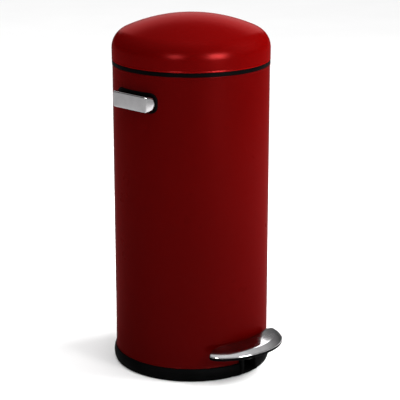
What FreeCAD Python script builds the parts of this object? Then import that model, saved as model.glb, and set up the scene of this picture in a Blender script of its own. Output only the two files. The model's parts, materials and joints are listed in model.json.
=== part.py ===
import FreeCAD, Part
import math
import os

V = FreeCAD.Vector

# A round pedal bin, in millimetres. Origin: on the can's axis at floor level.
# +Z is up, -Y is the pedal side, the handles are at -X and +X, the lid hinge is at +Y.

# ---- driving dimensions -------------------------------------------------------------
BODY_R = 148.0          # outside of the steel body
SHEET = 0.8             # steel sheet
GAP = 0.3               # air between pieces that only sit side by side
BASE_TOP = 25.6         # where the body rises out of the plastic base ring
BODY_TOP = 585.0        # top edge of the body
COLLAR_TOP = 593.1      # top of the black collar
LID_Z = COLLAR_TOP + GAP
LID_R = 149.1           # outside of the lid wall
LID_WALL = 21.1         # height of the lid's straight wall
LID_SHOULDER = 37.9     # radius of the lid's rounded shoulder
LID_HEIGHT = 82.8       # lid edge to the top of the dome

HINGE_Y = 160.0         # lid hinge axis, behind the body
HINGE_Z = 597.0
KNUCKLE_R = 7.0
HINGE_PIN_R = 3.0
KNUCKLE_HALF = 29.5     # half the length of the lid's knuckle
CRANK_DY = -28.0        # crank pin from the hinge axis, lid shut
CRANK_DZ = -14.0
CRANK_PIN_R = 2.5
PIN_FIT = 0.06          # radial play of a shaft that turns in a hole

PIVOT_Y = -60.0         # pedal lever's pivot
PIVOT_Z = 22.0
PIVOT_PIN_R = 3.0
TIP_REACH = 190.0       # pivot to the lever's rear tip
TIP_R = 4.0
PEDAL_HALF = 96.0       # half the width of the tread
PEDAL_DEPTH = 65.0      # rear corners to front rim
PEDAL_SIDE_R = 35.0     # the tighter arc at each side of the tread
PEDAL_BACK_Y = -138.0   # rear corners
PEDAL_BACK_Z = 74.5     # top of the tread there, before it is arched
PEDAL_HUG_R = 152.4     # the edge next to the body follows this radius
PEDAL_TILT = 7.0        # the tread slopes down to the front, degrees
PEDAL_ARCH_R = 450.0    # and is arched from side to side
PEDAL_RIM = 8.0         # depth of the turned-down rim
PEDAL_LINE = 5.0        # the black backing shows this much under the rim
PEDAL_SHEET = 1.2

ROD_Y = HINGE_Y + CRANK_DY
ROD_R = 2.5
ROD_BOTTOM = PIVOT_Z + TIP_R + 0.5
BUCKET_FLOOR = 68.0
BUCKET_TOP = 562.0
BUCKET_BOTTOM_R = 116.0
BUCKET_R = 124.5
BUCKET_RIM_R = 127.5
BUCKET_WALL = 1.8
BAIL_R = 133.0          # bail wire's half circle
BAIL_WIRE_R = 2.5
BAIL_PIVOT_Z = 552.0
BAIL_END = 125.0        # how far in the wire's ends reach
BAIL_Z = BUCKET_TOP + 6.6
GRIP_R = 6.0

HANDLE_Z = 534.0        # middle of the handles
HANDLE_LENGTH = 94.0
HANDLE_HEIGHT = 29.0
HANDLE_CORNER = 9.5     # radius of its corners in front view
HANDLE_FACE = 87.0      # length of the flat front
HANDLE_REACH = 161.5    # front face from the can's axis
HANDLE_SHEET = 2.5
PLATE_MARGIN = 4.5      # the black plate shows this much round the handle
PLATE_THICK = 2.4


# ---- helpers ------------------------------------------------------------------------
def save(name, *solids):
    """Writes one node: one solid, or a group of equal fasteners."""
    shape = solids[0] if len(solids) == 1 else Part.makeCompound(list(solids))
    shape.exportStep(f"parts/{name}.step")


def box(x0, x1, y0, y1, z0, z1):
    return Part.makeBox(x1 - x0, y1 - y0, z1 - z0, V(x0, y0, z0))


def disc(r, z0, z1, x=0.0, y=0.0):
    return Part.makeCylinder(r, z1 - z0, V(x, y, z0), V(0, 0, 1))


def x_rod(r, x0, x1, y, z):
    return Part.makeCylinder(r, x1 - x0, V(x0, y, z), V(1, 0, 0))


def tube(r_out, r_in, z0, z1):
    return disc(r_out, z0, z1).cut(disc(r_in, z0 - 1, z1 + 1))


def polygon(points):
    return Part.Face(Part.makePolygon(points + [points[0]]))


def revolved(face):
    return face.revolve(V(0, 0, 0), V(0, 0, 1), 360)


def ring(profile):
    """A full turn of (radius, height) points about the can's axis."""
    return revolved(polygon([V(r, 0, z) for r, z in profile]))


def side_plate(outline, x0, x1):
    """A flat plate from x0 to x1 with a (y, z) outline."""
    return polygon([V(x0, y, z) for y, z in outline]).extrude(V(x1 - x0, 0, 0))


def bulge(r_end, z_end, r_wide, z_wide):
    """Arc in a profile from an end point to the widest point, upright there."""
    rise = z_end - z_wide
    radius = ((r_wide - r_end) ** 2 + rise ** 2) / (2 * (r_wide - r_end))
    centre = r_wide - radius
    half = math.asin(rise / radius) / 2
    middle = V(centre + radius * math.cos(half), 0, z_wide + radius * math.sin(half))
    return Part.Arc(V(r_end, 0, z_end), middle, V(r_wide, 0, z_wide)).toShape()


def around(r, degrees):
    """A point at radius r, at an angle from +X."""
    a = math.radians(degrees)
    return r * math.cos(a), r * math.sin(a)


def mirrored_x(shape):
    return shape.mirror(V(0, 0, 0), V(1, 0, 0))


def rounded(shape, radius, wanted):
    """Fillets the edges whose bounding box passes the test."""
    return shape.makeFillet(radius, [e for e in shape.Edges if wanted(e.BoundBox)])


# ---- body ---------------------------------------------------------------------------
LEVER_SLOT = box(-15, 15, -175, -125, 8, 42)
HEM = 2.2               # height of the rolled hems
HEM_OUT = 0.6           # how far they stand out


def body_shell():
    """Open steel cylinder with a rolled hem at each end and a slot for the lever."""
    inner = BODY_R - SHEET
    low, high = BASE_TOP, BODY_TOP
    profile = [(inner, low), (BODY_R + HEM_OUT, low), (BODY_R + HEM_OUT, low + HEM),
               (BODY_R, low + HEM + 1), (BODY_R, high - HEM - 1), (BODY_R + HEM_OUT, high - HEM),
               (BODY_R + HEM_OUT, high), (inner, high)]
    return ring(profile).cut(LEVER_SLOT)


def upper_collar():
    """Plastic collar: a band on top of the body and a skirt inside it."""
    skirt_out = BODY_R - SHEET - GAP
    band_low = BODY_TOP + 0.1
    profile = [(141, COLLAR_TOP), (141, 583), (143.5, 580), (143.5, 560), (skirt_out, 560),
               (skirt_out, band_low), (148.8, band_low), (148.8, COLLAR_TOP)]
    crank_room = box(-12, 12, 130, 145.4, 555, 600)
    return ring(profile).cut(crank_room)


def base_ring():
    """Flared plastic ring under the body, with a spigot that the body is pushed over."""
    widest = 152.6
    bottom, top = 1.0, BASE_TOP - 0.1
    spigot_out = BODY_R - SHEET - GAP
    inside = [(148.8, top), (spigot_out, top), (spigot_out, 40), (144, 40), (144, 10), (132, 10),
              (132, 6.8), (141, 6.8), (141, bottom), (150.0, bottom)]
    corners = [V(r, 0, z) for r, z in inside]
    edges = [bulge(150.0, bottom, widest, 12), bulge(148.8, top, widest, 12)]
    edges += [Part.makeLine(p, q) for p, q in zip(corners, corners[1:])]
    holes = Part.makeCompound([disc(1.7, 0, 15, *around(136, a)) for a in SCREW_ANGLES])
    wire = Part.Wire(Part.__sortEdges__(edges))
    return revolved(Part.Face(wire)).cut(LEVER_SLOT).cut(holes)


SCREW_ANGLES = (30, 120, 210, 300)


def base_pan():
    """Floor of the can, screwed up into the base ring."""
    pan = disc(140.7, 3.3, 6.5)
    holes = Part.makeCompound([disc(1.9, 0, 10, *around(136, a)) for a in SCREW_ANGLES])
    return pan.cut(holes)


def foot_ring():
    """Rubber ring that the can stands on."""
    return tube(130.0, 118.0, 0.0, 3.2)


def base_screws():
    """Pan-head screws under the base pan."""
    screws = []
    for a in SCREW_ANGLES:
        x, y = around(136, a)
        screws.append(disc(3.4, 1.2, 3.2, x, y).fuse(disc(1.6, 3.1, 11.5, x, y)))
    return screws


def bucket_seat():
    """Raised ring under the bucket, open front and back for the lever."""
    low = 6.6
    seat = tube(112, 96, BUCKET_FLOOR - 3.3, BUCKET_FLOOR - GAP)
    seat = seat.fuse(tube(112, 108, low, BUCKET_FLOOR - 3))
    return seat.cut(box(-22, 22, -130, 130, low - 1, BUCKET_FLOOR + 1))


# ---- pedal --------------------------------------------------------------------------
def half_oval(inset):
    """Plan outline of the tread, or a copy of it set in all round.

    Straight behind, a flat arc in front and a tighter arc at each side."""
    side_x, drop = PEDAL_HALF - PEDAL_SIDE_R, PEDAL_DEPTH - PEDAL_SIDE_R
    front_at = V(0, (side_x ** 2 - drop ** 2) / (2 * drop), 0)
    side_r = PEDAL_SIDE_R - inset

    def side(sign):
        centre = V(sign * side_x, 0, 0)
        meet = (centre - front_at).normalize()
        middle = (meet + V(sign, 0, 0)).normalize()
        end = centre + V(sign * math.sqrt(side_r ** 2 - inset ** 2), -inset, 0)
        return end, centre + middle * side_r, centre + meet * side_r

    left, right = side(-1), side(1)
    front = Part.Arc(left[2], V(0, inset - PEDAL_DEPTH, 0), right[2])
    arcs = [Part.Arc(*left).toShape(), front.toShape(), Part.Arc(*right).toShape()]
    return Part.Face(Part.Wire(Part.__sortEdges__(arcs + [Part.makeLine(left[0], right[0])])))


def arch(z_top):
    """Everything under the arched surface that is z_top high in the middle."""
    centre = V(0, -100, z_top - PEDAL_ARCH_R)
    cylinder = Part.makeCylinder(PEDAL_ARCH_R, 120, centre, V(0, 1, 0))
    cylinder.rotate(centre, V(0, 1, 0), 180)
    return cylinder


def pedal_form(inset, height, z_top):
    """Arched block that hugs the body, with its front top edge rounded, before it is tilted."""
    block = half_oval(inset).extrude(V(0, 0, 80))
    block.translate(V(0, 0, -60))
    block = rounded(block, 7.0 - inset,
                    lambda b: b.YLength < 1e-3 and b.XLength < 1e-3 and b.YMin > -inset - 1)
    block = block.cut(disc(PEDAL_HUG_R + inset, -70, 30, 0, -PEDAL_BACK_Y))
    block = block.common(arch(z_top)).cut(arch(z_top - height))
    top = max(block.Faces, key=lambda f: f.CenterOfMass.z)
    return block.makeFillet(5.0 - inset, [e for e in top.Edges if e.BoundBox.YMin < -20])


def placed_pedal(shape):
    shape.rotate(V(0, 0, 0), V(1, 0, 0), PEDAL_TILT)
    shape.translate(V(0, PEDAL_BACK_Y, PEDAL_BACK_Z))
    return shape


def pedal_tread():
    """Chromed tread: a thin half-oval cap with a turned-down rim, open underneath."""
    block = pedal_form(0, PEDAL_RIM, 0)
    broad = sorted(block.Faces, key=lambda f: f.Area)[-2:]
    underside = min(broad, key=lambda f: f.CenterOfMass.z)
    return placed_pedal(block.makeThickness([underside], -PEDAL_SHEET, 1e-3))


def pedal_backing():
    """Black plastic insert that fills the tread and shows as a line under its rim."""
    inset = PEDAL_SHEET + 0.2
    return placed_pedal(pedal_form(inset, PEDAL_RIM + PEDAL_LINE - inset, -inset))


LEVER_HALF = 9.0
LEVER_THICK = 6.0


def pedal_lever():
    """Steel lever: hub on the pivot, a rising front arm, a straight rear arm."""
    t = LEVER_THICK / 2
    y, z = PIVOT_Y, PIVOT_Z
    tail = y + TIP_REACH - 5
    bottom = [(tail, z - t), (y, z - t), (-146, 30 - t), (-162, 34), (-186, 53.0)]
    top = [(-186, 59.0), (-172, 61.0), (-160, 46), (-143, 30 + t), (y, z + t), (tail, z + t)]
    bar = side_plate(bottom + top, -LEVER_HALF, LEVER_HALF)
    hub = x_rod(7.0, -12, 12, y, z)
    bore = x_rod(PIVOT_PIN_R + PIN_FIT, -20, 20, y, z)
    return bar.fuse(hub).cut(bore).cut(pedal_backing()).removeSplitter()


def lever_tip():
    """Nylon saddle on the rear end of the lever, which lifts the rod."""
    y = PIVOT_Y + TIP_REACH
    nose = x_rod(TIP_R, -LEVER_HALF, LEVER_HALF, y, PIVOT_Z)
    shank = box(-LEVER_HALF, LEVER_HALF, y - 4.9, y, PIVOT_Z - 2.8, PIVOT_Z + 2.8)
    return nose.fuse(shank).removeSplitter()


def pivot_bracket():
    """Folded steel bracket that carries the lever's pivot pin."""
    low = 6.6
    plate = box(-28, 28, PIVOT_Y - 13, PIVOT_Y + 13, low, low + 2)
    cheek = box(12.6, 15.6, PIVOT_Y - 9, PIVOT_Y + 9, low + 1, PIVOT_Z + 9)
    bracket = plate.fuse(cheek).fuse(mirrored_x(cheek))
    return bracket.cut(x_rod(PIVOT_PIN_R + 0.02, -30, 30, PIVOT_Y, PIVOT_Z)).removeSplitter()


def pivot_pin():
    shaft = x_rod(PIVOT_PIN_R, -17.5, 17.5, PIVOT_Y, PIVOT_Z)
    return shaft.fuse(x_rod(5.0, 16, 18.5, PIVOT_Y, PIVOT_Z)).removeSplitter()


def bracket_screws():
    """Short screws that hold the pivot bracket on the pan."""
    return [disc(3.2, 8.8, 10.8, x, PIVOT_Y) for x in (-22, 22)]


def pedal_stop():
    """Rubber buffer under the lever's front arm."""
    return disc(8.0, 6.7, 12.2, 0, -115)


def pedal_shroud():
    """Black surround of the lever's slot, open at the top."""
    half, front, low, high = 22.0, -155.6, 5.0, 40.0
    block = box(-half, half, front, -100, low, high)
    block = rounded(block, 2.0, lambda b: b.YMax < front + 1 and b.ZLength > 10)
    block = rounded(block, 1.5, lambda b: b.ZMin > high - 1e-3 and b.YMin < front + 12)
    can = disc(152.9, 0, BASE_TOP).fuse(disc(BODY_R + HEM_OUT + GAP, 0, 60))
    return block.cut(can).cut(LEVER_SLOT).removeSplitter()


# ---- lid ----------------------------------------------------------------------------
def dome(outer, inner, low):
    """Domed shell between two offsets inward from the lid's outside."""
    a, b = LID_R - LID_SHOULDER, LID_WALL - LID_HEIGHT
    crown = (LID_SHOULDER ** 2 - a ** 2 - b ** 2) / (2 * (b + LID_SHOULDER))
    shoulder_at = V(a, 0, LID_Z + LID_WALL)
    crown_at = V(0, 0, LID_Z + LID_HEIGHT - crown)
    meet = (shoulder_at - crown_at).normalize()

    def curve(offset):
        s, c = LID_SHOULDER - offset, crown - offset
        bisect = (meet + V(1, 0, 0)).normalize()
        half_way = (meet + V(0, 0, 1)).normalize()
        foot = V(LID_R - offset, 0, low)
        wall_top = shoulder_at + V(s, 0, 0)
        joint = crown_at + meet * c
        apex = crown_at + V(0, 0, c)
        return foot, apex, [
            Part.makeLine(foot, wall_top),
            Part.Arc(wall_top, shoulder_at + bisect * s, joint).toShape(),
            Part.Arc(joint, crown_at + half_way * c, apex).toShape(),
        ]

    foot_out, apex_out, outside = curve(outer)
    foot_in, apex_in, inside = curve(inner)
    wire = Part.Wire(Part.__sortEdges__(
        outside + inside + [Part.makeLine(foot_out, foot_in), Part.makeLine(apex_out, apex_in)]))
    return revolved(Part.Face(wire))


STRAP_HALF = 25.0
STRAP_LOW, STRAP_HIGH = LID_Z + 4.6, LID_Z + 8.6


def hinge_notch():
    """Space at the back of the lid wall that the hinge strap passes through."""
    return box(-STRAP_HALF - 2, STRAP_HALF + 2, 135, 175, LID_Z - 5, STRAP_HIGH + 3)


def lid_dome():
    return dome(0, SHEET, LID_Z).cut(hinge_notch())


def lid_liner():
    """Black plastic inner lid, with a pad that the hinge strap is screwed to."""
    shell = dome(SHEET + 0.5, SHEET + 2.0, LID_Z + 4.4).cut(hinge_notch())
    pad_low = STRAP_HIGH + 0.1
    pad = box(-STRAP_HALF + 3, STRAP_HALF - 3, 104, 160, pad_low, pad_low + 8)
    pad = pad.common(disc(LID_R - SHEET - 1.0, pad_low, pad_low + 8))
    return shell.fuse(pad).removeSplitter()


def lid_rim():
    """Black ring that closes the lid's edge."""
    flat = tube(LID_R - SHEET - GAP, 141.0, LID_Z + 0.7, LID_Z + 4.1)
    return flat.cut(box(-11, 11, 120, 160, LID_Z - 1, LID_Z + 6))


def lid_bumpers():
    """Rubber buttons between the lid and the collar."""
    spots = [around(144.5, a) for a in (60, 120, 210, 270, 330)]
    return [disc(3.0, LID_Z, LID_Z + 0.6, x, y) for x, y in spots]


def lid_arm():
    """Hinge strap: knuckle, plate under the lid, and two cheeks down to the crank pin."""
    y, z = HINGE_Y, HINGE_Z
    pin_y, pin_z = y + CRANK_DY, z + CRANK_DZ
    knuckle = x_rod(KNUCKLE_R, -KNUCKLE_HALF, KNUCKLE_HALF, y, z)
    plate = box(-STRAP_HALF, STRAP_HALF, 104, y - 2, STRAP_LOW, STRAP_HIGH)
    low = LID_Z + 0.8
    outline = [(y, low), (y - 18, low), (pin_y + 5.4, pin_z - 2), (pin_y + 3, pin_z - 5),
               (pin_y - 3, pin_z - 5), (pin_y - 5.6, pin_z - 1), (pin_y - 5.6, pin_z + 4),
               (y - 36, STRAP_LOW + 1), (y, STRAP_LOW + 1)]
    cheek = side_plate(outline, 4, 7)
    arm = plate.fuse(cheek).fuse(mirrored_x(cheek)).fuse(knuckle)
    arm = arm.cut(x_rod(HINGE_PIN_R + PIN_FIT, -60, 60, y, z))
    return arm.cut(x_rod(CRANK_PIN_R + 0.02, -20, 20, pin_y, pin_z)).removeSplitter()


def crank_pin():
    return x_rod(CRANK_PIN_R, -8, 8, HINGE_Y + CRANK_DY, HINGE_Z + CRANK_DZ)


def lid_screws():
    """Screws up through the hinge strap."""
    return [disc(3.2, STRAP_LOW - 2.1, STRAP_LOW - 0.1, x, 122) for x in (-16, 16)]


# ---- hinge on the body --------------------------------------------------------------
def hinge_housing():
    """Black block on the back of the body, with an ear at each end of the knuckle."""
    top = BODY_TOP + 0.5
    block = box(-44, 44, 130, 166, 552, top)
    block = rounded(block, 5.0, lambda b: b.YMin > 165 and b.ZLength > 10)
    block = rounded(block, 4.0, lambda b: b.ZMax < 552.1 and b.YMax > 160)
    ear = x_rod(KNUCKLE_R, 30, 42, HINGE_Y, HINGE_Z).fuse(
        box(30, 42, HINGE_Y - KNUCKLE_R, HINGE_Y + 5.5, top - 2, HINGE_Z))
    can = disc(BODY_R + HEM_OUT + 0.2, 500, 620)
    housing = block.cut(can).fuse(ear).fuse(mirrored_x(ear))
    return housing.cut(x_rod(HINGE_PIN_R + 0.02, -60, 60, HINGE_Y, HINGE_Z)).removeSplitter()


def hinge_pin():
    shaft = x_rod(HINGE_PIN_R, -43, 43, HINGE_Y, HINGE_Z)
    for x in (-44.4, 42.2):
        shaft = shaft.fuse(x_rod(4.6, x, x + 2.2, HINGE_Y, HINGE_Z))
    return shaft.removeSplitter()


def screw_head(angle, z, seat_r):
    """Head of a screw driven outward from inside the body, against a face at seat_r."""
    x, y = around(1.0, angle)
    out = V(x, y, 0)
    return Part.makeCylinder(3.6, 2.0, out * (seat_r - 2.1) + V(0, 0, z), out)


def hinge_screws():
    return [screw_head(a, 568, 143.4) for a in (79, 101)]


# ---- lifting rod and damper ---------------------------------------------------------
SLOT_UP, SLOT_DOWN = 4.3, 2.8      # slot edges above and below the crank pin's middle
SLOT_IN, SLOT_OUT = 6.2, 10.2      # slot ends inward and outward of the rod


def push_rod():
    return disc(ROD_R, ROD_BOTTOM + 2.5, HINGE_Z + CRANK_DZ - SLOT_DOWN - 2.2, 0, ROD_Y)


def rod_foot():
    """Nylon foot that the lever's tip pushes."""
    plate = box(-8, 8, 122, 137.5, ROD_BOTTOM, ROD_BOTTOM + 4)
    return plate.cut(disc(ROD_R + 0.02, ROD_BOTTOM + 2.4, ROD_BOTTOM + 9, 0, ROD_Y))


def rod_head():
    """Slotted plate at the top of the rod, which holds the crank pin loosely."""
    z = HINGE_Z + CRANK_DZ
    margin = 2.0
    plate = box(-1.6, 1.6, ROD_Y - SLOT_IN - margin, ROD_Y + SLOT_OUT + margin,
                z - SLOT_DOWN - margin, z + SLOT_UP + margin)
    slot = box(-5, 5, ROD_Y - SLOT_IN, ROD_Y + SLOT_OUT, z - SLOT_DOWN, z + SLOT_UP)
    return plate.cut(slot)


def wall_block(x0, x1, y0, z0, z1):
    """A block that fits against the inside of the body."""
    return box(x0, x1, y0, 150, z0, z1).common(disc(BODY_R - SHEET - 0.2, z0, z1))


def rod_guide(z):
    block = wall_block(-8, 8, 127.6, z, z + 10)
    return block.cut(disc(ROD_R + 0.08, z - 1, z + 11, 0, ROD_Y))


DAMPER_X, DAMPER_Y = 21.0, 133.0


def damper_cylinder():
    """Small air cylinder that slows the lid."""
    case = disc(5.5, 80, 180, DAMPER_X, DAMPER_Y)
    bore = disc(4.4, 84, 176, DAMPER_X, DAMPER_Y)
    return case.cut(bore).cut(disc(2.0 + PIN_FIT, 170, 190, DAMPER_X, DAMPER_Y))


def damper_rod():
    shaft = disc(2.0, 121, 219, DAMPER_X, DAMPER_Y)
    return shaft.fuse(disc(4.1, 118, 124, DAMPER_X, DAMPER_Y)).removeSplitter()


def damper_mount():
    """Clip that holds the air cylinder to the body."""
    block = wall_block(11.5, 30, 128.5, 84, 94)
    return block.cut(disc(5.52, 80, 100, DAMPER_X, DAMPER_Y))


def damper_link():
    """Plate clamped on both rods."""
    plate = box(-6, 27, 128, 138, 213, 217)
    for r, x, y in ((ROD_R, 0, ROD_Y), (2.0, DAMPER_X, DAMPER_Y)):
        plate = plate.cut(disc(r + 0.02, 200, 230, x, y))
    return plate


def guide_rivets():
    """Rivet heads on the inner face of each rod guide."""
    spots = [(-5.6, 106), (5.6, 106), (-5.6, 506), (5.6, 506)]
    return [Part.makeCylinder(1.6, 1.2, V(x, 126.3, z - 1), V(0, 1, 0)) for x, z in spots]


# ---- bucket -------------------------------------------------------------------------
def inner_bucket():
    """Lift-out bucket with a turned rim and a lug each side for the bail."""
    w = BUCKET_WALL
    profile = [(0, BUCKET_FLOOR), (BUCKET_BOTTOM_R, BUCKET_FLOOR), (BUCKET_R, BUCKET_TOP - 6),
               (BUCKET_RIM_R, BUCKET_TOP - 6), (BUCKET_RIM_R, BUCKET_TOP),
               (BUCKET_R - w, BUCKET_TOP), (BUCKET_BOTTOM_R - w, BUCKET_FLOOR + 2.5),
               (0, BUCKET_FLOOR + 2.5)]
    lug = x_rod(6.5, BUCKET_R - 1.2, 128.2, 0, BAIL_PIVOT_Z)
    lug = lug.cut(x_rod(BAIL_WIRE_R + PIN_FIT, 123.6, 140, 0, BAIL_PIVOT_Z))
    return ring(profile).fuse(lug).fuse(mirrored_x(lug)).removeSplitter()


def ball(r, x, y, z):
    return Part.makeSphere(r, V(x, y, z))


def bail_wire():
    """Wire handle: a half circle, a short leg each side and an end turned into each lug."""
    low, high = BAIL_PIVOT_Z, BAIL_Z
    section = Part.Face(Part.Wire(Part.makeCircle(BAIL_WIRE_R, V(-BAIL_R, 0, high), V(0, 1, 0))))
    bail = section.revolve(V(0, 0, high), V(0, 0, 1), 180)
    for side in (-1, 1):
        x = side * BAIL_R
        inner_end = sorted((x, side * BAIL_END))
        bail = bail.fuse(disc(BAIL_WIRE_R, low, high, x, 0))
        bail = bail.fuse(x_rod(BAIL_WIRE_R, *inner_end, 0, low))
        bail = bail.fuse(ball(BAIL_WIRE_R, x, 0, low)).fuse(ball(BAIL_WIRE_R, x, 0, high))
    return bail.removeSplitter()


def bail_grip():
    """Plastic grip round the middle of the bail."""
    sweep = 34.0
    face = Part.Face([Part.Wire(Part.makeCircle(GRIP_R, V(BAIL_R, 0, BAIL_Z), V(0, 1, 0))),
                      Part.Wire(Part.makeCircle(BAIL_WIRE_R + 0.15, V(BAIL_R, 0, BAIL_Z), V(0, 1, 0)))])
    grip = face.revolve(V(0, 0, BAIL_Z), V(0, 0, 1), sweep)
    grip.rotate(V(0, 0, 0), V(0, 0, 1), -90 - sweep / 2)
    return grip


# ---- side handles -------------------------------------------------------------------
def lozenge(margin, x0, x1):
    """Prism along X with the handle's round-cornered front view, or a larger copy of it."""
    half, rise = HANDLE_LENGTH / 2 + margin, HANDLE_HEIGHT / 2 + margin
    block = box(x0, x1, -half, half, HANDLE_Z - rise, HANDLE_Z + rise)
    return rounded(block, HANDLE_CORNER + margin, lambda b: b.YLength < 1e-3 and b.ZLength < 1e-3)


def bridge(reach, face_half, foot_half, foot_x):
    """Plan outline of the handle's outer or inner side, as a solid down to the feet."""
    z0 = HANDLE_Z - HANDLE_HEIGHT
    points = [V(foot_x, -foot_half, z0), V(reach, -face_half, z0),
              V(reach, face_half, z0), V(foot_x, foot_half, z0)]
    block = polygon(points).extrude(V(0, 0, 2 * HANDLE_HEIGHT))
    return rounded(block, 3.5, lambda b: b.XMin > reach - 1e-3 and b.YLength < 1e-3)


def side_handle():
    """Chromed pull: a flat bar whose ends turn back to the body, round in front view."""
    face, length, t = HANDLE_FACE / 2, HANDLE_LENGTH / 2, HANDLE_SHEET
    outer = bridge(HANDLE_REACH, face, length + 2, 140)
    inner = bridge(HANDLE_REACH - t, face - t * 0.6, length + 2 - t * 1.15, 140)
    bar = outer.cut(inner).common(lozenge(0, 130, 190))
    bar = bar.cut(disc(BODY_R + PLATE_THICK + 0.1, 500, 570))
    return bar.removeSplitter()


def handle_plate():
    """Black plate between the handle and the body."""
    return lozenge(PLATE_MARGIN, 120, 160).common(tube(BODY_R + PLATE_THICK, BODY_R + 0.05, 500, 570))


def handle_screws():
    return [screw_head(a, HANDLE_Z, BODY_R - SHEET) for a in (-18, 18, 162, 198)]


# ---- build --------------------------------------------------------------------------
def build():
    os.makedirs("parts", exist_ok=True)
    single = {
        "body_shell": body_shell, "upper_collar": upper_collar, "base_ring": base_ring,
        "base_pan": base_pan, "foot_ring": foot_ring, "bucket_seat": bucket_seat,
        "pedal_shroud": pedal_shroud, "pivot_bracket": pivot_bracket, "pivot_pin": pivot_pin,
        "pedal_stop": pedal_stop, "pedal_tread": pedal_tread, "pedal_backing": pedal_backing,
        "pedal_lever": pedal_lever, "lever_tip": lever_tip, "lid_dome": lid_dome,
        "lid_liner": lid_liner, "lid_rim": lid_rim, "lid_arm": lid_arm, "crank_pin": crank_pin,
        "hinge_housing": hinge_housing, "hinge_pin": hinge_pin, "push_rod": push_rod,
        "rod_foot": rod_foot, "rod_head": rod_head, "damper_cylinder": damper_cylinder,
        "damper_rod": damper_rod, "damper_mount": damper_mount, "damper_link": damper_link,
        "inner_bucket": inner_bucket, "bail_wire": bail_wire, "bail_grip": bail_grip,
    }
    for name, make in single.items():
        save(name, make())
    groups = {
        "base_screws": base_screws, "bracket_screws": bracket_screws, "lid_bumpers": lid_bumpers,
        "lid_screws": lid_screws, "hinge_screws": hinge_screws, "guide_rivets": guide_rivets,
        "handle_screws": handle_screws,
    }
    for name, make in groups.items():
        save(name, *make())
    save("rod_guide_lower", rod_guide(100))
    save("rod_guide_upper", rod_guide(500))
    save("side_handle_right", side_handle())
    save("side_handle_left", mirrored_x(side_handle()))
    save("handle_plate_right", handle_plate())
    save("handle_plate_left", mirrored_x(handle_plate()))


build()
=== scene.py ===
import json
import math

import bmesh
import bpy
from mathutils import Matrix, Vector


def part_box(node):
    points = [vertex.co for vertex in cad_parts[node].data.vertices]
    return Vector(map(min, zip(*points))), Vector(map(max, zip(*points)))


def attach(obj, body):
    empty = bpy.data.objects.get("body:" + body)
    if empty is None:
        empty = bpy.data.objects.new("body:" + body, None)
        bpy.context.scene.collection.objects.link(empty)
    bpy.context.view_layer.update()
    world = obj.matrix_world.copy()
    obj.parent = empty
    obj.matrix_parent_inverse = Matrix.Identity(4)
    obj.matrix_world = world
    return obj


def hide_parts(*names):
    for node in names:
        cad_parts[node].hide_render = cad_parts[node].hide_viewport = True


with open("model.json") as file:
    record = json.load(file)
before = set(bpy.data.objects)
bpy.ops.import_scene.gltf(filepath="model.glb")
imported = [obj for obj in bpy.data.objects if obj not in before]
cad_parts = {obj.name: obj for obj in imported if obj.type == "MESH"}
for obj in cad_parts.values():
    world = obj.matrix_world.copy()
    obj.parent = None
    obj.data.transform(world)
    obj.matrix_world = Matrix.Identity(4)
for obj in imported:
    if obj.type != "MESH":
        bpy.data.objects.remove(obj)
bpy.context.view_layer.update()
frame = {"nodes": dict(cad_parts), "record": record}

MM = 0.001
SEGMENTS = 288            # facets round the can


# ---- places read from the CAD frame -------------------------------------------------
def low(node):
    """The lowest corner of a CAD node's box."""
    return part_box(node)[0]


def high(node):
    """The highest corner of a CAD node's box."""
    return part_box(node)[1]


STEEL = 0.8 * MM          # the body's and the lid's sheet
GAP = 0.1 * MM            # air between the body and the plastic rings at its ends
HEM = 2.2 * MM            # height of the rolled hems
HEM_OUT = 0.6 * MM        # and how far they stand out
BODY_R = high("body_shell").y - HEM_OUT
BODY_LOW, BODY_HIGH = low("body_shell").z, high("body_shell").z
COLLAR_R, COLLAR_TOP = high("upper_collar").x, high("upper_collar").z
LID_R, LID_LOW, LID_TOP = high("lid_dome").x, low("lid_dome").z, high("lid_dome").z
LID_WALL, LID_SHOULDER = 21.1 * MM, 37.9 * MM      # straight wall's height, shoulder's radius
BASE_R = high("base_ring").x
MOUTH_R = 0.141           # inside of the collar and of the lid's rim


# ---- mesh helpers -------------------------------------------------------------------
def mesh_object(name, bm, smooth_angle=35.0):
    """Makes an object of a bmesh, smooth but for edges sharper than the angle."""
    bmesh.ops.recalc_face_normals(bm, faces=bm.faces)
    mesh = bpy.data.meshes.new(name)
    bm.to_mesh(mesh)
    bm.free()
    mesh.shade_smooth()
    mesh.set_sharp_from_angle(angle=math.radians(smooth_angle))
    obj = bpy.data.objects.new(name, mesh)
    bpy.context.scene.collection.objects.link(obj)
    return obj


def rounded_path(corners, steps=6):
    """Points of a profile. A corner is (radius, height) or (radius, height, fillet)."""
    n = len(corners)
    points = []
    for i, corner in enumerate(corners):
        p = Vector(corner[:2])
        fillet = corner[2] if len(corner) > 2 else 0.0
        before = Vector(corners[i - 1][:2]) - p
        after = Vector(corners[(i + 1) % n][:2]) - p
        if fillet == 0.0:
            points.append(p)
            continue
        half = before.angle(after) / 2
        reach = min(fillet / math.tan(half), before.length * 0.49, after.length * 0.49)
        radius = reach * math.tan(half)
        start, end = p + before.normalized() * reach, p + after.normalized() * reach
        bisector = (before.normalized() + after.normalized()).normalized()
        centre = p + bisector * radius / math.sin(half)
        for k in range(steps + 1):
            ray = (start - centre).lerp(end - centre, k / steps)
            points.append(centre + ray.normalized() * radius)
    return points


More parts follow.
